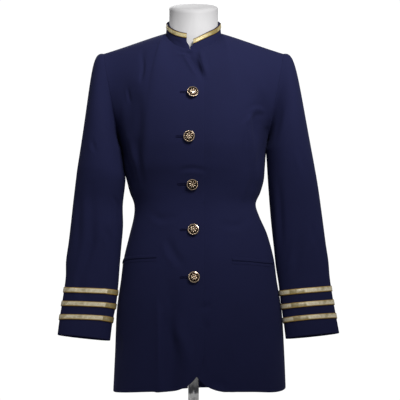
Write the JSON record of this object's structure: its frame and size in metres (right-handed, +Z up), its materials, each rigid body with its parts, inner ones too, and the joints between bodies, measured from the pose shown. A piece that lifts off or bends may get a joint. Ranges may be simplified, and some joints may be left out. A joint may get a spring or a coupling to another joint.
{
  "type": "jacket on a dress form",
  "caption": "Hip-length navy uniform jacket with a stand collar, gold braid and shank buttons, buttoned on a limbless white dress form.",
  "frame": {"origin": "centre of the underside of the dress form's round base", "axes": "+Z up, the front of the jacket looks along -Y, +X is the wearer's left"},
  "size_m": [0.6248, 0.2716, 0.9764],
  "materials": {
    "navy_wool": "fine matt wool twill",
    "gold_lace": "woven metallic braid",
    "gilt_button": "polished gilt with a raised motif",
    "form_shell": "smooth white"
  },
  "bodies": {
    "root": {"front_right": "navy_wool", "front_left": "navy_wool", "back_right": "navy_wool", "back_left": "navy_wool", "collar": "navy_wool", "top_sleeve_right": "navy_wool", "under_sleeve_right": "navy_wool", "top_sleeve_left": "navy_wool", "under_sleeve_left": "navy_wool", "pocket_jet_right_upper": "navy_wool", "pocket_jet_right_lower": "navy_wool", "pocket_jet_left_upper": "navy_wool", "pocket_jet_left_lower": "navy_wool", "collar_braid": "gold_lace", "cuff_braid_right_top_1": "gold_lace", "cuff_braid_right_top_2": "gold_lace", "cuff_braid_right_top_3": "gold_lace", "cuff_braid_right_under_1": "gold_lace", "cuff_braid_right_under_2": "gold_lace", "cuff_braid_right_under_3": "gold_lace", "cuff_braid_left_top_1": "gold_lace", "cuff_braid_left_top_2": "gold_lace", "cuff_braid_left_top_3": "gold_lace", "cuff_braid_left_under_1": "gold_lace", "cuff_braid_left_under_2": "gold_lace", "cuff_braid_left_under_3": "gold_lace", "button_1": "gilt_button", "button_2": "gilt_button", "button_3": "gilt_button", "button_4": "gilt_button", "button_5": "gilt_button", "form_torso": "form_shell", "form_pole": "form_shell", "form_base": "form_shell"}
  },
  "joints": []
}
